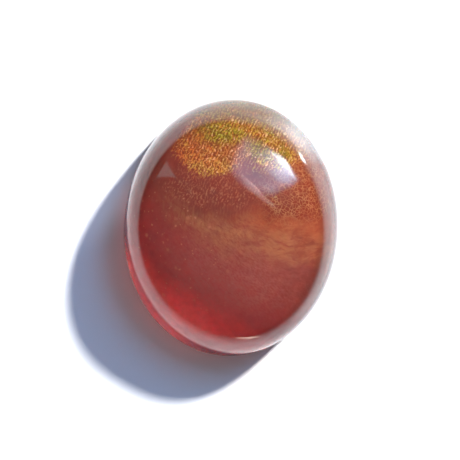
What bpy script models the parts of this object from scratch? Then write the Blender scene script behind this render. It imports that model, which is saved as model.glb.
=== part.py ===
# Fire agate cabochon: one oval, high-domed polished stone with a flat back.
# Metres, +Z up. The origin is under the middle of the oval, on the surface that the stone
# rests on, and the long axis of the oval lies along Y.

import math

import bmesh
import bpy

# Driving dimensions
STONE_LENGTH = 0.0180      # along Y
STONE_WIDTH = 0.0150       # along X
STONE_HEIGHT = 0.0064      # flat back to summit
WALL_HEIGHT = 0.0012       # flat back to the widest outline, where the dome starts
EDGE_ROUND = 0.0005        # rounding between the back and the wall

# The dome rises as (1 - spread squared) to the power 1 / fullness, where spread is 1 on the
# outline. A fullness of 2 is an ellipsoid, and more gives steeper flanks and fuller
# shoulders. The stone is ground fuller on one diagonal than on the other.
FULLNESS = 2.6
FULLNESS_SWING = 0.85
FULLEST_DIRECTION = math.radians(-23.0)

# Facets
SEGMENTS = 72
EDGE_ROWS = 4
DOME_ROWS = 24

# Finish
BODY_COLOUR = (0.30, 0.055, 0.035, 1.0)
BODY_ROUGHNESS = 0.08
BODY_METALLIC = 0.0
BODY_INDEX = 1.54

QUARTER_TURN = math.pi / 2


def clear_scene():
    for thing in list(bpy.data.objects):
        bpy.data.objects.remove(thing, do_unlink=True)


def outline(direction):
    """Point of the widest outline, an ellipse, seen from above."""
    return STONE_WIDTH / 2 * math.cos(direction), STONE_LENGTH / 2 * math.sin(direction)


def edge_point(direction, turn):
    """Point on the rounded lower edge: turn 0 is on the back, a quarter turn on the wall."""
    x, y = outline(direction)
    reach = math.hypot(x, y)
    keep = (reach - EDGE_ROUND * (1 - math.sin(turn))) / reach
    return x * keep, y * keep, EDGE_ROUND * (1 - math.cos(turn))


def dome_point(direction, climb):
    """Point on the dome: climb 0 is on the widest outline, a quarter turn is the summit."""
    x, y = outline(direction)
    fullness = FULLNESS + FULLNESS_SWING * math.cos(2 * (direction - FULLEST_DIRECTION))
    spread = math.cos(climb)
    rise = math.sin(climb) ** (2 / fullness)
    return x * spread, y * spread, WALL_HEIGHT + (STONE_HEIGHT - WALL_HEIGHT) * rise


def rows():
    """Each ring of the stone from the back up, as a surface and how far along it lies."""
    for step in range(EDGE_ROWS + 1):
        yield edge_point, QUARTER_TURN * step / EDGE_ROWS
    for step in range(DOME_ROWS):
        yield dome_point, QUARTER_TURN * step / DOME_ROWS


def add_ring(shell, surface, along):
    """One closed ring of edges across the surface."""
    directions = [math.tau * step / SEGMENTS for step in range(SEGMENTS)]
    verts = [shell.verts.new(surface(direction, along)) for direction in directions]
    return [shell.edges.new((verts[step - 1], verts[step])) for step in range(SEGMENTS)]


def stone_mesh():
    """Rings bridged from the back to the summit, with the back closed flat."""
    shell = bmesh.new()
    rings = [add_ring(shell, surface, along) for surface, along in rows()]
    for lower, upper in zip(rings, rings[1:]):
        bmesh.ops.bridge_loops(shell, edges=lower + upper)
    bmesh.ops.edgeloop_fill(shell, edges=rings[0])
    crown = bmesh.ops.edgeloop_fill(shell, edges=rings[-1])["faces"]
    summit = bmesh.ops.poke(shell, faces=crown)["verts"][0]
    summit.co = (0.0, 0.0, STONE_HEIGHT)
    bmesh.ops.recalc_face_normals(shell, faces=shell.faces[:])
    mesh = bpy.data.meshes.new("stone")
    shell.to_mesh(mesh)
    shell.free()
    mesh.shade_smooth()
    mesh.set_sharp_from_angle(angle=math.radians(40.0))
    return mesh


def agate():
    """Polished red-brown chalcedony."""
    material = bpy.data.materials.new("polished_agate")
    material.use_nodes = True
    finish = material.node_tree.nodes["Principled BSDF"].inputs
    finish["Base Color"].default_value = BODY_COLOUR
    finish["Roughness"].default_value = BODY_ROUGHNESS
    finish["Metallic"].default_value = BODY_METALLIC
    finish["IOR"].default_value = BODY_INDEX
    return material


def main():
    clear_scene()
    stone = bpy.data.objects.new("stone", stone_mesh())
    stone.data.materials.append(agate())
    bpy.context.scene.collection.objects.link(stone)


main()
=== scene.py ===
import math

import bpy
import numpy as np
from mathutils import Matrix, Vector


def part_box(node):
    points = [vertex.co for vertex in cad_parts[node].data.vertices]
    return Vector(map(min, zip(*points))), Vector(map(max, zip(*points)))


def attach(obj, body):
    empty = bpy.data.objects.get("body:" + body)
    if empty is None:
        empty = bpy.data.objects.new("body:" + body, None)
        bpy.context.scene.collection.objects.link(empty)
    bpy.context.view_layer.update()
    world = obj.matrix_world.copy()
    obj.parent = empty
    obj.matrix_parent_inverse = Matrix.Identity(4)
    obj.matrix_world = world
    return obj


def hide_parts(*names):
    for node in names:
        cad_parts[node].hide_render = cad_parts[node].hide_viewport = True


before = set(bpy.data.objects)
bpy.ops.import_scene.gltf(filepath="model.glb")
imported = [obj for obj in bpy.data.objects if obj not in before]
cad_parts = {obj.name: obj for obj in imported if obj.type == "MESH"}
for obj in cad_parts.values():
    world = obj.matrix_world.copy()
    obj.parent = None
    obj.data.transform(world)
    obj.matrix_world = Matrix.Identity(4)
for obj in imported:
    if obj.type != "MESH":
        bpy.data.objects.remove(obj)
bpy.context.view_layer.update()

mm = 0.001
quarterTurn = math.pi / 2
solidLow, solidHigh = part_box("stone")
halfWidth = (solidHigh.x - solidLow.x) / 2
halfLength = (solidHigh.y - solidLow.y) / 2


# How the stone is ground. Its outside size comes from the solid.
stoneShape = dict(
    columns=288,
    backRows=14,
    edgeRows=10,
    wallRows=4,
    domeRows=120,
    wallHeight=1.2 * mm,
    edgeRound=0.5 * mm,
    fullness=2.6,                      # 2 is an ellipsoid, more is fuller at the shoulder
    fullnessSwing=0.85,
    fullestAt=math.radians(-23.0),
    waver=0.004 * mm,                  # how far the hand polish wanders from a true curve
    waverLength=3.6 * mm,
)


def polishWaver(x, y):
    # Three crossed sine waves, added and scaled to run from 0 to 1.
    turn = math.tau / stoneShape["waverLength"]
    waves = (np.sin(turn * (0.8 * x + 0.5 * y)) + np.sin(turn * (-0.4 * x + 0.9 * y) + 1.7)
             + np.sin(turn * (1.1 * x - 0.2 * y) + 4.0))
    return 0.5 + waves / 6


def stoneRows():
    # Four stretches from the middle of the back to the summit. Each row has the share of the
    # outline that it spreads to, its distance inside the outline, its height and its climb.
    s = stoneShape
    out = np.linspace(0, 1, s["backRows"], endpoint=False)
    turn = np.linspace(0, quarterTurn, s["edgeRows"], endpoint=False)
    up = np.linspace(s["edgeRound"], s["wallHeight"], s["wallRows"], endpoint=False)
    climb = np.linspace(0, quarterTurn, s["domeRows"] + 1)
    spread = np.concatenate([out, np.ones_like(turn), np.ones_like(up), np.cos(climb)])
    inset = s["edgeRound"] * np.concatenate(
        [np.ones_like(out), 1 - np.sin(turn), 0 * up, 0 * climb])
    height = np.concatenate([0 * out, s["edgeRound"] * (1 - np.cos(turn)), up,
                             np.full_like(climb, s["wallHeight"])])
    climbs = np.concatenate([0 * out, 0 * turn, 0 * up, climb])
    return [row[:, None] for row in (spread, inset, height, climbs)]


def stoneSurface():
    # Outline: an ellipse. Back: the outline drawn in to its middle. Edge: a quarter round.
    # Dome: height = wall + rise * sin(climb) ** (2 / fullness), spread = cos(climb).
    s = stoneShape
    around = np.linspace(0, math.tau, s["columns"], endpoint=False)[None, :]
    outlineX = halfWidth * np.cos(around)
    outlineY = halfLength * np.sin(around)
    reach = np.hypot(outlineX, outlineY)
    spread, inset, height, climb = stoneRows()
    share = spread * (reach - inset) / reach
    x, y = outlineX * share, outlineY * share
    fullness = s["fullness"] + s["fullnessSwing"] * np.cos(2 * (around - s["fullestAt"]))
    rise = np.sin(climb) ** (2 / fullness)
    waver = s["waver"] * polishWaver(x, y) * np.sin(climb) ** 2
    z = height + (solidHigh.z - s["wallHeight"]) * rise - waver
    return np.stack([x, y, z], axis=-1)


def closedMesh(name, grid):
    # Rings of quads between a first and a last row that each shrink to one point.
    rows, columns = grid.shape[0] - 2, grid.shape[1]
    points = np.concatenate([grid[:1, 0], grid[1:-1].reshape(-1, 3), grid[-1:, 0]])
    ring = np.arange(columns)
    after = (ring + 1) % columns
    first = 1 + columns * np.arange(rows - 1)[:, None]
    quads = np.stack([first + ring, first + after, first + columns + after,
                      first + columns + ring], axis=-1).reshape(-1, 4)
    lastRing, summit = 1 + columns * (rows - 1), len(points) - 1
    backFan = np.stack([0 * ring, 1 + after, 1 + ring], axis=-1)
    topFan = np.stack([lastRing + ring, lastRing + after, 0 * ring + summit], axis=-1)
    mesh = bpy.data.meshes.new(name)
    mesh.from_pydata(points.tolist(), [], quads.tolist() + backFan.tolist() + topFan.tolist())
    mesh.shade_smooth()
    return mesh


stone = bpy.data.objects.new("fireAgate", closedMesh("fireAgate", stoneSurface()))
bpy.context.scene.collection.objects.link(stone)
print("stone ground:", len(stone.data.polygons), "faces")


class Graph:
    # Short names for the nodes that the finishes below are wired from.
    def __init__(self, tree):
        self.tree = tree

    def add(self, kind, settings=None, **inputs):
        node = self.tree.nodes.new("ShaderNode" + kind)
        for name, value in (settings or {}).items():
            setattr(node, name, value)
        for name, value in inputs.items():
            self.feed(node.inputs[name.replace("_", " ")], value)
        return node

    def feed(self, socket, value):
        # Links a socket's output, or sets a plain value.
        if isinstance(value, bpy.types.NodeSocket):
            self.tree.links.new(value, socket)
        else:
            socket.default_value = value

    def maths(self, operation, *values):
        node = self.add("Math", dict(operation=operation))
        for socket, value in zip(node.inputs, values):
            self.feed(socket, value)
        return node.outputs[0]

    def times(self, first, *others):
        for other in others:
            first = self.maths("MULTIPLY", first, other)
        return first

    def clamp(self, value):
        return self.maths("MINIMUM", self.maths("MAXIMUM", value, 0.0), 1.0)

    def vector(self, operation, *values):
        node = self.add("VectorMath", dict(operation=operation))
        for socket, value in zip(node.inputs, values):
            self.feed(socket, value)
        return node.outputs["Value" if operation in ("DOT_PRODUCT", "LENGTH") else "Vector"]

    def scaled(self, value, share):
        # A place or a colour, times one number.
        node = self.add("VectorMath", dict(operation="SCALE"), Scale=share)
        self.feed(node.inputs[0], value)
        return node.outputs["Vector"]

    def turned(self, place, degrees, scale=(1, 1, 1), shift=(0, 0, 0)):
        node = self.add("Mapping", dict(vector_type="TEXTURE"), Vector=place, Location=shift,
                        Rotation=(0, 0, math.radians(degrees)), Scale=scale)
        return node.outputs[0]

    def noise(self, place, scale, detail=2.0, roughness=0.5):
        return self.add("TexNoise", Vector=place, Scale=scale, Detail=detail,
                        Roughness=roughness)

    def drawn(self, place, degrees, stretch, scale, detail, roughness):
        # Noise drawn out along one direction.
        return self.noise(self.turned(place, degrees, stretch), scale, detail,
                          roughness).outputs["Fac"]

    def cells(self, place, scale, feature="F1"):
        return self.add("TexVoronoi", dict(feature=feature), Vector=place, Scale=scale)

    def step(self, value, start, end, low=0.0, high=1.0):
        # Runs smoothly from low at the start to high at the end.
        node = self.add("MapRange", dict(interpolation_type="SMOOTHSTEP"), Value=value,
                        From_Min=start, From_Max=end, To_Min=low, To_Max=high)
        return node.outputs[0]

    def mix(self, share, first, second, blend="MIX"):
        node = self.add("Mix", dict(data_type="RGBA", blend_type=blend))
        self.feed(node.inputs["Factor"], share)
        self.feed(node.inputs[6], first)
        self.feed(node.inputs[7], second)
        return node.outputs[2]

    def patch(self, plan, centre, radii, degrees, soft):
        # An oval with a soft edge: 1 inside, 0 outside, in mm seen from above.
        place = self.turned(plan, degrees, (*radii, 1), (*centre, 0))
        return self.step(self.vector("LENGTH", place), 1 + soft, 1 - soft)


# The stone's inside, in mm seen from above. The last word of a name says what it holds:
#   At      where a patch lies: centre, radii, turn in degrees, softness of its edge
#   Noise   scale, detail, roughness
#   Drawn   a noise drawn out one way: turn in degrees, stretch, then as for Noise
#   Wander  scale of a noise, and how far it moves things
#   Ridges  turn in degrees, spacing across and length along, height, scale of the grains
#   Edge    a pattern comes up from nothing to full between these two of its values
#   Fade    it runs between two of its values, or two places, with this share at each
#   Luck    what the chance of each grain, from 0 to 1, is multiplied by, and what is added
agate = dict(
    body=[(-6.0, (0.20, 0.037, 0.017)), (0.0, (0.22, 0.038, 0.021)), (2.0, (0.33, 0.041, 0.026)),
          (3.6, (0.45, 0.050, 0.038)), (4.5, (0.53, 0.057, 0.044)), (5.3, (0.77, 0.075, 0.058)),
          (6.2, (0.87, 0.089, 0.071)), (7.0, (0.86, 0.089, 0.072))],
    bodyWander=(0.40, 1.2),
    mottleNoise=(1.6, 4.0, 0.6),
    mottleFade=(0.25, 0.75, 0.90, 1.10),
    glowSide=(-0.51, -0.86, 0.0),      # painted glow: the body is painted brighter this way
    duskSide=(0.70, -0.71, 0.0),       # and dulls a little this way
    duskFade=(2.5, 6.5, 1.0, 0.75),
    leftDusk=0.80,
    leftDuskAt=((-5.3, -3.6), (1.4, 2.9), 15.0, 0.8),
    # Painted shade on the flank and rim, and a painted glow at the foot.
    flankShadeFade=(0.77, 0.93, 1.0, 0.45),   # in shares of the way out to the outline
    rimShadeFade=(0.92, 0.99, 1.0, 0.45),
    footGlowSide=(-0.80, -0.60, 0.0),      # painted glow: the foot of the flank is painted brighter on this side
    footGlowFade=(6.0, 7.8, 0.0, 0.80),
    footGlowHeights=(4.6, 2.4),            # nothing down to the first, all of it below the second
    layerWanders=[(0.45, 1.5), (2.6, 0.55)],   # of all that lies in the body

    haze=(0.455, 0.155, 0.058, 1),
    hazeWander=(0.9, 0.7),
    hazeLeftAt=((-0.6, 0.6), (3.7, 1.65), -22.0, 0.6),
    hazeRightAt=((3.8, -0.2), (4.0, 1.55), -5.0, 0.4),
    hazeRightFade=(3.0, 7.0, 1.0, 0.45),
    hazeLumpFade=(0.35, 0.63, 0.35, 1.05),
    threadFade=(0.25, 0.75, 0.35, 1.15),
    wispMiddle=4.5,                    # the wisps curve up on both sides of this x
    wispBend=0.06,
    lumpsDrawn=(0.0, (1.3, 0.6, 1.0), 1.2, 4.0, 0.62),
    slantingDrawn=(-42.0, (0.36, 0.19, 1.0), 1.5, 3.0, 0.65),
    uprightDrawn=(-8.0, (0.16, 0.8, 1.0), 1.3, 3.0, 0.6),
    uprightAt=((-3.2, 1.6), (2.8, 1.6), 0.0, 0.7),
    lyingDrawn=(0.0, (0.70, 0.20, 1.0), 1.5, 3.0, 0.65),
    lyingAt=((4.6, -0.6), (2.6, 2.6), 0.0, 0.5),
    lyingFade=(0.0, 1.0, 0.35, 0.65),
    mist=(0.44, 0.104, 0.070, 1),
    mistAt=((0.6, -2.4), (4.4, 2.8), -14.0, 0.7),
    mistLumpFade=(0.3, 0.7, 0.6, 1.0),
    strip=(0.46, 0.094, 0.024, 1),
    stripAt=((3.0, 1.15), (3.1, 0.80), -6.0, 0.8),
    stripShare=0.55,

    netGround=(0.225, 0.042, 0.021, 1),
    netLine=(0.44, 0.128, 0.056, 1),
    netAt=((-1.2, 2.8), (3.2, 1.9), 0.0, 0.40),
    breaksNoise=(1.4, 3.0),            # where the lines of the net are weak
    breaksFade=(0.35, 0.65, 0.45, 1.0),
    strokeRidges=(-20.0, (0.205, 0.380), 0.07, 2.2),
    strokeWander=(1.8, 0.36),
    strokeEdge=(0.44, 0.74),
    strokeReach=(1.2, 2.6),            # the strokes take over from the hairs as y grows
    hairRidges=(-4.0, (0.23, 0.90), 0.13, 2.2),
    hairWander=(1.4, 0.34),
    hairEdge=(0.45, 0.80),
    hairFade=(0.4, 2.2, 0.10, 0.50),
    warmGround=(0.205, 0.034, 0.013, 1),
    warmLine=(0.40, 0.145, 0.054, 1),
    warmAt=((4.5, 3.15), (2.7, 2.25), 10.0, 0.25),
    warmGrain=0.25,
    warmWander=(1.8, 0.5),
    warmEdge=(0.13, 0.01),             # from the seams between the grains

    emberZones=[((-1.2, 6.3), (2.9, 2.15), 14.0, 0.20), ((1.9, 7.15), (3.7, 2.25), -14.0, 0.35)],
    emberRidges=(-24.0, (0.215, 0.350), 0.07, 2.4),
    emberWander=(2.0, 0.34),
    emberEdge=(0.33, 0.71),
    emberCells=2.0,                    # scale of the cells that give each grain its chance
    emberLuck=(0.6, 0.65),
    emberFades=[("Y", 6.0, 4.8, 0.80, 1.15), ("Y", 8.4, 7.2, 0.75, 1.0),
                ("X", -2.0, 1.8, 1.0, 0.88)],
    emberReach=1.6,                    # how far the strong grains stray out of the zones
    emberGap=0.6,                      # and how much of the weak ones is lost there
    emberGround=(0.19, 0.046, 0.013, 1),
    emberOrange=(0.55, 0.138, 0.026, 1),
    emberRust=(0.42, 0.100, 0.036, 1),
    rustAt=((0.2, 5.5), (1.2, 0.9), 0.0, 0.6),
    rustShare=0.75,
    emberOlive=(0.62, 0.345, 0.050, 1),
    oliveFade=(-4.0, 3.5, 0.06, 0.62),
    oliveLuck=(0.6, -0.30),
    driftNoise=(1.1,),
    driftFade=(0.35, 0.65, -0.24, 0.24),
    goldAt=((-1.3, 4.3), (1.6, 1.2), 10.0, 0.6),
    goldShare=0.60,
    emberGlint=(0.90, 0.520, 0.230, 1),
    glintFade=(-2.5, 2.5, 0.35, 0.95),
    glintEdge=(0.45, 0.70),
    glintChance=(0.55, 0.85),           # only the grains of the highest chance get the painted glint
    emberGreen=(0.42, 0.372, 0.018, 1),
    emberShade=(0.105, 0.050, 0.007, 1),       # between the green ones
    greens=[((-0.75, 6.85), (1.7, 0.8), 0.0, 0.9), ((1.7, 5.8), (1.2, 0.8), -20.0, 0.75),
            ((3.5, 5.3), (0.6, 0.9), 0.0, 0.85), ((2.2, 7.3), (1.2, 0.5), -35.0, 0.60),
            ((0.2, 8.0), (2.6, 0.6), 0.0, 0.55)],   # patches, with a share as the last value
    greenSoft=0.8,
    greenFade=(0.2, 1.0, 1.0, 0.88),   # the green grains are a little weaker
    greenChanceFade=(0.05, 0.55, 0.20, 1.0),

    speck=(0.66, 0.220, 0.105, 1),
    # Scale of the cells, radius in them, chance from which one shows, strength.
    specks=[(1.4, 0.30, 0.45, 0.50), (2.4, 0.28, 0.50, 0.70), (4.0, 0.30, 0.60, 0.80)],
    specksAt=((-3.5, -1.2), (3.2, 4.6), 20.0, 0.4),
    speckWander=(3.0, 0.22),

    back=(0.17, 0.055, 0.030, 1),
    backPale=(0.26, 0.110, 0.065, 1),
    backTop=(0.55, 0.35),              # the ground finish ends at this height
    cloudNoise=(0.5, 4.0, 0.6),
    cloudEdge=(0.35, 0.70),
    wheelDrawn=(35.0, (3.0, 0.05, 1.0), 1.0, 2.0, 0.5),
    wheelFade=(0.3, 0.7, 0.6, 1.0),
    grainBump=0.02 * mm,
    groundRoughness=0.60,
    groundCoat=0.15,
    polishRoughness=0.35,
    coatRoughness=0.03,
    index=1.54,
    softRadius=(1.0, 0.15, 0.1),       # how far light spreads inside, by colour
    softDepth=4.0 * mm,
)


def wander(g, place, scale, amount):
    # Moves each place a little, by smooth noise.
    push = g.vector("SUBTRACT", g.noise(place, scale).outputs["Color"], (0.5, 0.5, 0.5))
    return g.vector("MULTIPLY_ADD", push, (amount, amount, amount), place)


def curved(g, place):
    # Coordinates that follow the wisps: y less a parabola in x.
    apart = g.add("SeparateXYZ", Vector=place)
    off = g.maths("SUBTRACT", apart.outputs["X"], agate["wispMiddle"])
    lower = g.maths("SUBTRACT", apart.outputs["Y"], g.times(off, off, agate["wispBend"]))
    return g.add("CombineXYZ", X=apart.outputs["X"], Y=lower, Z=apart.outputs["Z"]).outputs[0]


def ridges(g, place, degrees, size, height, grains):
    # Sine ridges side by side, on noise that breaks each into grains along its length.
    turned = g.turned(place, degrees, (*size, 1.0))
    across = g.add("SeparateXYZ", Vector=turned).outputs["X"]
    crest = g.maths("SINE", g.times(across, math.tau))
    return turned, g.maths("MULTIPLY_ADD", crest, height,
                           g.noise(turned, grains, 1.0).outputs["Fac"])


def grey(value):
    return (value, value, value, 1.0)


def bodyColourAndGlow(g, plan):
    # Chalcedony, dull red-brown above; painted glow of light through the stone, bright red towards
    # glowSide.
    a = agate
    along = g.vector("DOT_PRODUCT", plan, a["glowSide"])
    first, last = a["body"][0][0], a["body"][-1][0]
    ramp = g.add("ValToRGB", Fac=g.add("MapRange", Value=along, From_Min=first,
                                      From_Max=last).outputs[0])
    stops = ramp.color_ramp.elements
    while len(stops) < len(a["body"]):
        stops.new(0.5)
    for stop, (place, colour) in zip(stops, a["body"]):
        stop.position = (place - first) / (last - first)
        stop.color = (*colour, 1)
    dusk = g.step(g.vector("DOT_PRODUCT", plan, a["duskSide"]), *a["duskFade"])
    leftDusk = g.step(g.patch(plan, *a["leftDuskAt"]), 0.0, 1.0, 1.0, a["leftDusk"])
    return g.scaled(ramp.outputs["Color"], g.times(dusk, leftDusk))


def hazeOver(g, colour, place, plan):
    # Lumps of short threads, slanting down on the left and lying along a shallow curve on the
    # right, with fainter mist below them.
    a = agate
    curve = curved(g, wander(g, place, *a["hazeWander"]))
    lumps = g.drawn(curve, *a["lumpsDrawn"])
    threads = g.mix(g.patch(plan, *a["uprightAt"]), g.drawn(place, *a["slantingDrawn"]),
                    g.drawn(place, *a["uprightDrawn"]))
    lying = g.step(g.drawn(curve, *a["lyingDrawn"]), *a["lyingFade"])
    threads = g.step(g.mix(g.patch(plan, *a["lyingAt"]), threads, lying), *a["threadFade"])
    wisps = g.times(g.step(lumps, *a["hazeLumpFade"]), threads)
    across = g.add("SeparateXYZ", Vector=plan).outputs["X"]
    right = g.times(g.patch(plan, *a["hazeRightAt"]), g.step(across, *a["hazeRightFade"]))
    both = g.maths("MAXIMUM", g.patch(plan, *a["hazeLeftAt"]), right)
    mist = g.times(g.patch(plan, *a["mistAt"]), threads, g.step(lumps, *a["mistLumpFade"]))
    colour = g.mix(mist, colour, a["mist"])
    colour = g.mix(g.times(both, wisps), colour, a["haze"])
    strip = g.times(g.patch(plan, *a["stripAt"]), threads, a["stripShare"])
    return g.mix(strip, colour, a["strip"])


def netOver(g, colour, place, plan):
    # Short slanting strokes close under the fire that pass into upright hairs below them, and
    # a warm mesh on the right.
    a = agate
    broken = g.step(g.noise(place, *a["breaksNoise"]).outputs["Fac"], *a["breaksFade"])
    height = g.add("SeparateXYZ", Vector=plan).outputs["Y"]
    _, strokes = ridges(g, wander(g, place, *a["strokeWander"]), *a["strokeRidges"])
    _, hairs = ridges(g, wander(g, place, *a["hairWander"]), *a["hairRidges"])
    hairs = g.times(g.step(hairs, *a["hairEdge"]), g.step(height, *a["hairFade"]))
    more = g.maths("SUBTRACT", g.step(strokes, *a["strokeEdge"]), hairs)
    lines = g.maths("MULTIPLY_ADD", more, g.step(height, *a["strokeReach"]), hairs)
    mesh = g.cells(wander(g, place, *a["warmWander"]), 1 / a["warmGrain"], "DISTANCE_TO_EDGE")
    mesh = g.times(g.step(mesh.outputs["Distance"], *a["warmEdge"]), broken)
    colour = g.mix(g.patch(plan, *a["netAt"]), colour,
                   g.mix(g.times(lines, broken), a["netGround"], a["netLine"]))
    return g.mix(g.patch(plan, *a["warmAt"]), colour,
                 g.mix(mesh, a["warmGround"], a["warmLine"]))


def embersOver(g, colour, place, plan):
    # Bright slanting grains, close together, each of its own colour and strength: orange on
    #     # the left, golden below, green at the top and the right. The outer ones stand apart. The
    #     # palest grains are painted glints.
    a = agate
    loose, value = ridges(g, wander(g, place, *a["emberWander"]), *a["emberRidges"])
    chance = g.add("SeparateColor", Color=g.cells(loose, a["emberCells"]).outputs["Color"]).outputs
    across = g.add("SeparateXYZ", Vector=plan).outputs
    greens = 0.0
    for centre, radii, degrees, share in a["greens"]:
        cluster = g.patch(plan, centre, radii, degrees, a["greenSoft"])
        greens = g.maths("MAXIMUM", g.times(cluster, share), greens)

    strength = g.times(g.step(value, *a["emberEdge"]),
                       g.maths("MULTIPLY_ADD", chance["Red"], *a["emberLuck"]),
                       g.step(greens, *a["greenFade"]))
    for axis, *fade in a["emberFades"]:
        strength = g.times(strength, g.step(across[axis], *fade))

    gold = g.times(g.patch(plan, *a["goldAt"]), a["goldShare"])
    olive = g.maths("MAXIMUM", gold, g.step(across["X"], *a["oliveFade"]))
    drift = g.step(g.noise(place, *a["driftNoise"]).outputs["Fac"], *a["driftFade"])
    luck = g.maths("MULTIPLY_ADD", chance["Green"], *a["oliveLuck"])
    olive = g.clamp(g.maths("ADD", g.maths("ADD", olive, drift), luck))
    rust = g.times(g.patch(plan, *a["rustAt"]), a["rustShare"])
    green = g.times(greens, g.step(chance["Green"], *a["greenChanceFade"]))
    pale = g.times(g.step(chance["Blue"], *a["glintChance"]), g.step(across["X"], *a["glintFade"]),
                   g.step(value, *a["glintEdge"]))
    hue = g.mix(olive, a["emberOrange"], a["emberOlive"])
    hue = g.mix(green, g.mix(rust, hue, a["emberRust"]), a["emberGreen"])
    hue = g.mix(pale, hue, a["emberGlint"])
    embers = g.mix(strength, g.mix(greens, a["emberGround"], a["emberShade"]), hue)

    zone = g.maths("MAXIMUM", *[g.patch(plan, *where) for where in a["emberZones"]])
    lost = g.times(g.maths("SUBTRACT", 1.0, strength), a["emberGap"])
    share = g.maths("SUBTRACT", g.times(zone, a["emberReach"]), g.maths("MAXIMUM", lost, 0.0))
    return g.mix(g.clamp(share), colour, embers)


def specksOver(g, colour, place, plan):
    # Stray bright grains in the clear body on the left: blurred deep ones, and fine ones.
    share = 0.0
    ragged = wander(g, place, *agate["speckWander"])
    for scale, size, least, strength in agate["specks"]:
        dots = g.cells(ragged, scale)
        few = g.add("SeparateColor", Color=dots.outputs["Color"])
        bright = g.times(g.step(dots.outputs["Distance"], size, size / 5, 0.0, strength),
                         g.step(few.outputs["Red"], least, 1.0))
        share = g.maths("MAXIMUM", bright, share)
    share = g.times(share, g.patch(plan, *agate["specksAt"]))
    return g.mix(share, colour, agate["speck"])


def rimShadeOver(g, colour, place):
    # Painted shade: the colour is painted darker on the steep flank and darkest at the rim, where
    #     # less light gets in. On one side a painted glow brightens it again at the foot.
    a = agate
    out = g.vector("LENGTH", g.vector("MULTIPLY", place, (mm / halfWidth, mm / halfLength, 0)))
    light = g.times(g.step(out, *a["flankShadeFade"]), g.step(out, *a["rimShadeFade"]))
    foot = g.step(g.add("SeparateXYZ", Vector=place).outputs["Z"], *a["footGlowHeights"])
    glow = g.step(g.vector("DOT_PRODUCT", place, a["footGlowSide"]), *a["footGlowFade"])
    share = g.maths("SUBTRACT", 1.0, g.times(foot, glow))
    return g.scaled(colour, g.add("MapRange", Value=share, To_Min=1.0, To_Max=light).outputs[0])


def groundOver(g, colour, place):
    # The back is ground flat and left matt: cloudy, with fine straight marks from the wheel.
    a = agate
    ground = g.step(g.add("SeparateXYZ", Vector=place).outputs["Z"], *a["backTop"])
    clouds = g.noise(place, *a["cloudNoise"]).outputs["Fac"]
    marks = g.drawn(place, *a["wheelDrawn"])
    pale = g.times(g.step(clouds, *a["cloudEdge"]), g.step(marks, *a["wheelFade"]))
    return g.mix(ground, colour, g.mix(pale, a["back"], a["backPale"])), ground, marks


def agateFinish():
    # Each layer goes over the ones before it. The polish is a clear coat over a soft body.
    a = agate
    material = bpy.data.materials.new("polishedAgate")
    material.use_nodes = True
    shader = material.node_tree.nodes["Principled BSDF"].inputs
    g = Graph(material.node_tree)

    place = g.scaled(g.add("TexCoord").outputs["Object"], 1 / mm)
    smooth = g.vector("MULTIPLY", wander(g, place, *a["bodyWander"]), (1, 1, 0))
    plan = place
    for how in a["layerWanders"]:
        plan = wander(g, plan, *how)
    plan = g.vector("MULTIPLY", plan, (1, 1, 0))

    mottle = g.step(g.noise(place, *a["mottleNoise"]).outputs["Fac"], *a["mottleFade"])
    colour = g.scaled(bodyColourAndGlow(g, smooth), mottle)
    for layer in (hazeOver, netOver, embersOver, specksOver):
        colour = layer(g, colour, place, plan)
    colour, ground, marks = groundOver(g, rimShadeOver(g, colour, place), place)

    g.feed(shader["Base Color"], colour)
    polished = g.times(mottle, a["polishRoughness"])
    g.feed(shader["Roughness"], g.add("MapRange", Value=ground, To_Min=polished,
                                      To_Max=a["groundRoughness"]).outputs[0])
    g.feed(shader["Coat Weight"], g.step(ground, 0.0, 1.0, 1.0, a["groundCoat"]))
    bump = g.add("Bump", Distance=1.0, Strength=1.0,
                 Height=g.times(ground, marks, a["grainBump"]))
    g.feed(shader["Normal"], bump.outputs[0])
    shader["Specular IOR Level"].default_value = 0.0
    shader["IOR"].default_value = a["index"]
    shader["Coat IOR"].default_value = a["index"]
    shader["Coat Roughness"].default_value = a["coatRoughness"]
    shader["Subsurface Weight"].default_value = 1.0
    shader["Subsurface Radius"].default_value = a["softRadius"]
    shader["Subsurface Scale"].default_value = a["softDepth"]
    return material


stone.data.materials.append(agateFinish())
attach(stone, "root")
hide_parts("stone")
print("stone finished")


# The photograph's frame, and where the stone stands in it.
photoView = dict(
    framePixels=460,
    pixel=0.0702 * mm,
    cameraAt=(math.radians(86.2), math.radians(85.3)),   # compass turn from +X, elevation
    roll=math.radians(3.2),
    originPixel=(231.1, 226.4),                          # where the middle of the back shows
    lens=500.0,
    sensor=36.0,
    clip=(10 * mm, 5.0),
)


def direction(turn, elevation):
    # Unit vector at this compass turn from +X and this height above the floor.
    return Vector((math.cos(elevation) * math.cos(turn), math.cos(elevation) * math.sin(turn),
                   math.sin(elevation)))


def makeCamera():
    # Looks down at the stone from far off, with a long lens, and set over so that the middle
    # of the back falls on its pixel.
    v = photoView
    back = direction(*v["cameraAt"])
    leaning = Vector((-math.sin(v["roll"]), math.cos(v["roll"]), 0))
    up = (leaning - back * leaning.dot(back)).normalized()
    right = up.cross(back)
    half = v["framePixels"] / 2
    aim = (right * (half - v["originPixel"][0]) - up * (half - v["originPixel"][1])) * v["pixel"]
    distance = half * v["pixel"] / (v["sensor"] / 2 / v["lens"])
    camera = bpy.data.objects.new("camera", bpy.data.cameras.new("camera"))
    camera.data.lens = v["lens"]
    camera.data.sensor_width = v["sensor"]
    camera.data.clip_start, camera.data.clip_end = v["clip"]
    turned = Matrix((right, up, back)).transposed().to_4x4()
    camera.matrix_world = Matrix.Translation(aim + back * distance) @ turned
    bpy.context.scene.collection.objects.link(camera)
    bpy.context.scene.camera = camera


makeCamera()
print("camera placed")


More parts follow.
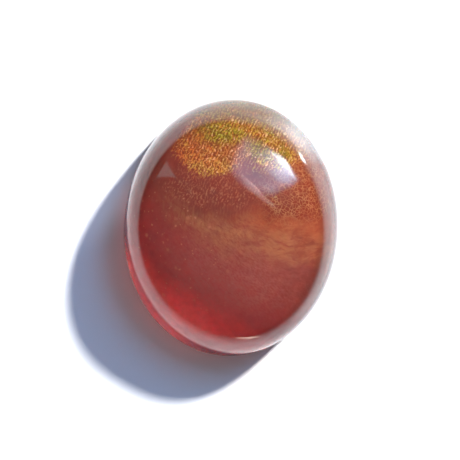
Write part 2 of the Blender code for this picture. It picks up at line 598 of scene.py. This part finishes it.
# The paper, the sky and the lights. A side is a compass turn from +X. A reach is a distance from
# the stone's foot, in mm. A spread is how straight a place has to lie to its side.
studio = dict(
    floorSize=3.0,
    floorColour=(0.88, 0.88, 0.88, 1.0),
    floorRoughness=0.9,
    floorSpecular=0.1,
    sky=(0.19, 0.19, 0.24),
    skyAtHorizon=0.35,                 # share of the sky's brightness left at the horizon
    skyOverhead=1.35,
    horizonGlow=(1.55, 1.55, 1.55),    # pale surroundings, up to this height over the table
    horizonHeight=math.radians(7.0),
    horizonLean=(-0.28, 0.45, 0.0),    # and brighter on this side
    horizonRise=(-0.45, 1.22, 0.0),    # and reaching higher on this one
    riseFrom=0.50,                     # once it lies this straight to that side
    farPaperShade=0.66,                     # painted shade: brightness left in the paper far out on one side
    farReach=(22.0, 85.0),             # from the stone's middle, in mm
    farSide=math.radians(-72.0),
    farSpread=(0.1, 0.95),
    outlineReach=8.2,                  # the outline's mean half size, in mm
    contactShade=0.55,                 # painted shade: how dark the paper is painted against the stone's lit foot
    contactReach=(-1.0, 3.0),
    contactSide=(-0.6, -0.2),          # none where the stone's own shadow lies
    throughLight=(0.040, 0.004, 0.002, 1.0),   # painted glow: the paper glows red there, as if light came through the stone
    throughReach=(-1.0, 3.6),
    throughSide=math.radians(212.0),
    throughSpread=(0.3, 0.95, 0.25, 1.0),
    footLight=(0.100, 0.020, 0.020, 1.0),      # and more of it at the very foot
    footReach=(-0.2, 1.1),
    warmPaintedShade=(0.84, 0.68, 0.58, 1.0),          # painted shade: the paper is painted warm and dark where that red glow falls
    dimSide=math.radians(238.0),
    dimSpread=(0.3, 0.95, 0.15, 1.0),
    lift=(0.090, 0.095, 0.115, 1.0),   # painted light: the paper glows faintly in the shadow's upper side
    liftAt=((-8.3, 2.1), (1.5, 4.2), -37.0, 0.7),
    keyAt=(math.radians(49.7), math.radians(29.7)),
    keyOnAll=4.8,
    keyOnPaper=10.6,                   # the paper is lit harder than the stone
    keyAngle=math.radians(8.0),
    fillAt=(math.radians(54.0), math.radians(43.0)),
    fillSize=(0.31, 0.50),
    fillColour=(0.22, 0.50, 1.0),
    fillPower=3.1,
    distance=0.9,
)


def facing(g, place, turn):
    # 1 straight out from the middle this way, 0 square to it.
    return g.vector("DOT_PRODUCT", g.vector("NORMALIZE", place), direction(turn, 0.0))


def makeFloor():
    # One square of white paper, with painted shade and painted glow. Its colour and its faint
    #     # light depend on how far a place is from the stone's outline, and on which side.
    half = studio["floorSize"] / 2
    corners = [(-half, -half, 0), (half, -half, 0), (half, half, 0), (-half, half, 0)]
    mesh = bpy.data.meshes.new("floor")
    mesh.from_pydata(corners, [], [(0, 1, 2, 3)])
    floor = bpy.data.objects.new("floor", mesh)
    material = bpy.data.materials.new("paper")
    material.use_nodes = True
    paper = material.node_tree.nodes["Principled BSDF"].inputs
    g = Graph(material.node_tree)

    place = g.scaled(g.add("TexCoord").outputs["Object"], 1 / mm)
    outlines = g.vector("MULTIPLY", place, (mm / halfWidth, mm / halfLength, 0))
    away = g.times(g.maths("SUBTRACT", g.vector("LENGTH", outlines), 1.0),
                   studio["outlineReach"])
    lit = g.step(g.vector("DOT_PRODUCT", outlines, direction(studio["keyAt"][0], 0.0)),
                 *studio["contactSide"])
    unlit = g.maths("SUBTRACT", 1.0, lit)
    # Painted shade on the paper: darker by the stone's lit foot, far out on one side, and warm
    # near its shadowed foot.
    contact = g.step(away, *studio["contactReach"], 1 - studio["contactShade"], 0.0)
    far = g.times(g.step(g.vector("LENGTH", place), *studio["farReach"]),
                  g.step(facing(g, place, studio["farSide"]), *studio["farSpread"]))
    shade = g.times(g.maths("SUBTRACT", 1.0, g.times(contact, lit)),
                    g.step(far, 0.0, 1.0, 1.0, studio["farPaperShade"]))
    through = g.times(g.step(away, *studio["throughReach"], 1.0, 0.0), unlit)
    dim = g.step(facing(g, outlines, studio["dimSide"]), *studio["dimSpread"])
    shadedPaper = g.mix(g.times(through, dim), studio["floorColour"], studio["warmPaintedShade"])
    g.feed(paper["Base Color"], g.mix(shade, grey(0.0), shadedPaper))

    # Painted glow on the paper: red near the stone's shadowed foot, and a faint lift in the
    # shadow.
    nearest = g.times(g.step(away, *studio["footReach"], 1.0, 0.0), unlit)
    red = g.mix(g.times(through, through), grey(0.0), studio["throughLight"])
    red = g.mix(nearest, red, studio["footLight"])
    behind = g.step(facing(g, outlines, studio["throughSide"]), *studio["throughSpread"])
    lift = g.patch(g.vector("MULTIPLY", place, (1, 1, 0)), *studio["liftAt"])
    g.feed(paper["Emission Color"], g.mix(1.0, g.mix(behind, grey(0.0), red),
                                          g.mix(lift, grey(0.0), studio["lift"]), "ADD"))
    paper["Emission Strength"].default_value = 1.0
    paper["Roughness"].default_value = studio["floorRoughness"]
    paper["Specular IOR Level"].default_value = studio["floorSpecular"]
    mesh.materials.append(material)
    bpy.context.scene.collection.objects.link(floor)
    return floor


def makeKey(name, strength, onlyOn=None):
    # A low sun from the photograph's upper right, for everything or for one thing alone.
    sun = bpy.data.lights.new(name, "SUN")
    sun.energy = strength
    sun.angle = studio["keyAngle"]
    key = bpy.data.objects.new(name, sun)
    key.rotation_euler = direction(*studio["keyAt"]).to_track_quat("Z", "Y").to_euler()
    key.visible_glossy = False         # the pale pane above is what the polish mirrors
    bpy.context.scene.collection.objects.link(key)
    if onlyOn:
        key.light_linking.receiver_collection = bpy.data.collections.new(name)
        key.light_linking.receiver_collection.objects.link(onlyOn)


def makeFill():
    # A tall pale blue panel beside the sun. Its soft shadow is the blue part of the stone's own.
    panel = bpy.data.lights.new("fill", "AREA")
    panel.shape = "RECTANGLE"
    panel.size, panel.size_y = studio["fillSize"]
    panel.color = studio["fillColour"]
    panel.energy = studio["fillPower"]
    fill = bpy.data.objects.new("fill", panel)
    toPanel = direction(*studio["fillAt"])
    fill.location = toPanel * studio["distance"]
    fill.rotation_euler = toPanel.to_track_quat("Z", "Y").to_euler()
    fill.visible_glossy = False
    bpy.context.scene.collection.objects.link(fill)


def makeSky():
    # Brightness runs with height: from skyAtHorizon at the horizon to skyOverhead at the zenith,
    # with a pale glow along the horizon itself.
    world = bpy.data.worlds.new("sky")
    world.use_nodes = True
    g = Graph(world.node_tree)
    toward = g.add("TexCoord").outputs["Generated"]
    height = g.maths("MAXIMUM", g.add("SeparateXYZ", Vector=toward).outputs["Z"], 0.0)
    share = g.maths("MULTIPLY_ADD", height, studio["skyOverhead"] - studio["skyAtHorizon"],
                    studio["skyAtHorizon"])
    lean = g.vector("DOT_PRODUCT", toward, studio["horizonLean"])
    rise = g.maths("SUBTRACT", g.vector("DOT_PRODUCT", toward, studio["horizonRise"]),
                   studio["riseFrom"])
    rise = g.maths("ADD", g.maths("MAXIMUM", rise, 0.0), 1.0)
    glow = g.times(g.step(g.maths("DIVIDE", height, rise), math.sin(studio["horizonHeight"]),
                          0.0), g.maths("ADD", lean, 1.0))
    background = world.node_tree.nodes["Background"]
    g.feed(background.inputs["Color"], g.vector("ADD", g.scaled(studio["sky"], share),
                                                g.scaled(studio["horizonGlow"], glow)))
    bpy.context.scene.world = world


# What the polish mirrors. Corners of the far cards are compass turn from +X, elevation (both
# in degrees) and share of the glow. Corners of the near ones are places in mm, and the share.
farCards = dict(
    sunlitPane=dict(
        corners=[(57.4, 27.1, 0.9), (54.8, 24.3, 1), (52.2, 23.5, 1), (49.8, 24.2, 0.9),
                 (47.6, 26.0, 0.8), (43.0, 28.4, 0.35), (47.2, 30.8, 0.22), (51.0, 32.6, 0.15),
                 (54.0, 32.0, 0.15), (56.3, 30.5, 0.3)],
        glow=(27.0, 28.0, 30.0), soft=0.55, distance=0.90),
    paneHalo=dict(
        corners=[(58.6, 25.6, 0.7), (55.2, 24.0, 0.9), (51.6, 23.4, 1), (48.0, 25.0, 0.9),
                 (43.1, 28.1, 0.8), (44.2, 36.1, 0.9), (50.8, 40.5, 1), (56.1, 40.3, 0.9),
                 (59.1, 34.5, 0.8)],
        glow=(5.2, 8.2, 11.0), soft=0.55, distance=0.91),
    window=dict(
        corners=[(73.5, 56.8, 0.6), (72.2, 49.1, 0.6), (71.8, 40.7, 0.6), (70.5, 31.4, 0.6),
                 (68.5, 22.9, 0.3), (62.2, 24.0, 0.3), (54.2, 23.4, 0.5), (40.9, 25.2, 0.9),
                 (41.5, 34.7, 0.9), (45.3, 47.0, 0.9), (47.8, 54.5, 0.9), (54.3, 59.0, 0.8),
                 (59.1, 61.0, 0.7), (63.6, 59.9, 0.7)],
        glow=(2.0, 4.1, 6.1), soft=0.26, distance=0.92),
    lowerSash=dict(
        corners=[(55.8, 56.6, 0.7), (47.1, 50.3, 1), (42.1, 35.7, 0.7), (39.8, 18.3, 0.2),
                 (32.1, 12.3, 0.1), (26.4, 25.3, 0.2), (24.5, 45.0, 0.4), (30.3, 56.9, 0.6),
                 (43.7, 61.7, 0.7)],
        glow=(0.5, 0.55, 0.50), soft=0.30, distance=0.925),
    glazingBar=dict(
        corners=[(63.5, 58.2, 1), (62.4, 56.4, 1), (58.8, 59.2, 1), (51.1, 60.4, 1),
                 (36.1, 59.0, 0.7), (34.1, 61.7, 0.7), (50.4, 64.1, 1), (58.7, 62.9, 1)],
        glow=(3.4, 2.5, 2.3), soft=0.30, distance=0.93),
    farWindow=dict(
        corners=[(158.5, 23.6, 1), (148.6, 49.7, 1), (144.9, 24.5, 1)],
        glow=(0.9, 1.3, 1.3), soft=0.08, distance=0.93),
)
nearCards = dict(
    tableEdge=dict(
        corners=[(18.04, 20.42, 2.6, 1), (18.69, 19.75, 1.9, 1), (19.58, 18.77, 2.2, 1),
                 (20.45, 17.75, 3.1, 1), (19.70, 18.50, 4.5, 1), (18.69, 19.65, 4.2, 1)],
        glow=(18.0, 21.0, 21.0), soft=0.18),
    paperEdge=dict(
        corners=[(-1.0, -37.4, 5.8, 0.4), (3.5, -37.5, 4.9, 1), (6.7, -37.0, 4.2, 1),
                 (9.4, -36.2, 3.2, 0.6), (9.3, -36.2, 5.0, 0.6), (6.5, -37.0, 6.2, 1),
                 (3.2, -37.3, 6.9, 1), (-1.0, -37.4, 7.0, 0.4)],
        glow=(9.5, 8.0, 6.4), soft=0.12),
    glareOnPaper=dict(
        corners=[(4.3, 9.2, 0.15, 0.5), (5.6, 8.3, 0.15, 0.8), (7.3, 6.7, 0.15, 0.8),
                 (12.8, 10.5, 0.15, 0.5), (28.0, 25.0, 0.15, 0.5), (32.0, 44.0, 0.15, 0.5),
                 (13.0, 28.0, 0.15, 0.5), (6.6, 17.0, 0.15, 0.5), (4.4, 12.0, 0.15, 0.5)],
        glow=(3.2, 4.0, 4.35), soft=0.20),
    glareCore=dict(
        corners=[(5.4, 9.2, 0.16, 0.8), (7.6, 8.4, 0.16, 0.6), (11.5, 11.5, 0.16, 0.6),
                 (19.0, 22.0, 0.16, 0.8), (12.0, 20.0, 0.16, 0.6), (6.8, 12.5, 0.16, 0.8)],
        glow=(3.0, 3.7, 4.1), soft=0.35),
    brightPaper=dict(
        corners=[(10.5, -5.5, 0.10, 1.1), (12.0, -14.0, 0.10, 0.8), (26.0, -30.0, 0.10, 0.8),
                 (44.0, -16.0, 0.10, 0.9), (40.0, 20.0, 0.10, 1), (20.0, 40.0, 0.10, 1),
                 (3.0, 30.0, 0.10, 1), (5.4, 12.5, 0.10, 1), (10.5, 6.5, 0.10, 1)],
        glow=(1.2, 1.2, 1.2), soft=0.10),
    paleTop=dict(
        corners=[(-7.0, 10.5, 0.12, 0.5), (-2.0, 10.2, 0.12, 1), (3.5, 10.5, 0.12, 1),
                 (3.0, 30.0, 0.12, 1), (-6.0, 40.0, 0.12, 1), (-14.0, 24.0, 0.12, 0.6)],
        glow=(0.6, 0.75, 0.45), soft=0.25),
)


def makeCard(name, card, corners):
    # A fan of two rings round its middle. The glow is full on the inner ring, scaled by each
    # corner's share, and fades to nothing on the outer one. What lies behind shows through.
    corners, shares = np.array(corners), np.array([corner[-1] for corner in card["corners"]])
    middle = corners.mean(axis=0)
    inner = middle + (corners - middle) * (1 - card["soft"])
    outer = middle + (corners - middle) * (1 + card["soft"])
    count = len(corners)
    ring, after = np.arange(count), (np.arange(count) + 1) % count
    fan = np.stack([0 * ring, 1 + ring, 1 + after], axis=-1).tolist()
    fringe = np.stack([1 + ring, 1 + count + ring, 1 + count + after, 1 + after],
                      axis=-1).tolist()
    mesh = bpy.data.meshes.new(name)
    mesh.from_pydata([middle.tolist()] + inner.tolist() + outer.tolist(), [], fan + fringe)
    glowing = mesh.attributes.new("glow", "FLOAT", "POINT")
    glowing.data.foreach_set("value", np.concatenate([[shares.mean()], shares, 0 * shares]))
    material = bpy.data.materials.new(name)
    material.use_nodes = True
    nodes = material.node_tree.nodes
    nodes.remove(nodes["Principled BSDF"])
    g = Graph(material.node_tree)
    share = g.add("Attribute", dict(attribute_name="glow")).outputs["Fac"]
    glow = g.add("Emission", Color=(*card["glow"], 1.0), Strength=share)
    both = g.add("AddShader")
    g.feed(both.inputs[0], glow.outputs[0])
    g.feed(both.inputs[1], g.add("BsdfTransparent").outputs[0])
    g.feed(nodes["Material Output"].inputs["Surface"], both.outputs[0])
    mesh.materials.append(material)
    piece = bpy.data.objects.new(name, mesh)
    piece.visible_camera = False
    piece.visible_diffuse = False
    piece.visible_shadow = False
    piece.visible_transmission = False
    bpy.context.scene.collection.objects.link(piece)


for name, card in farCards.items():
    makeCard(name, card, [direction(math.radians(turn), math.radians(lift)) * card["distance"]
                          for turn, lift, _ in card["corners"]])
for name, card in nearCards.items():
    makeCard(name, card, [(x * mm, y * mm, z * mm) for x, y, z, _ in card["corners"]])

paperFloor = makeFloor()
makeKey("keyOnAll", studio["keyOnAll"])
makeKey("keyOnPaper", studio["keyOnPaper"], paperFloor)
makeFill()
makeSky()
print("studio lit")

scene = bpy.context.scene
scene.view_settings.view_transform = "Standard"
scene.view_settings.look = "None"
scene.cycles.use_denoising = True
scene.cycles.denoiser = "OPENIMAGEDENOISE"
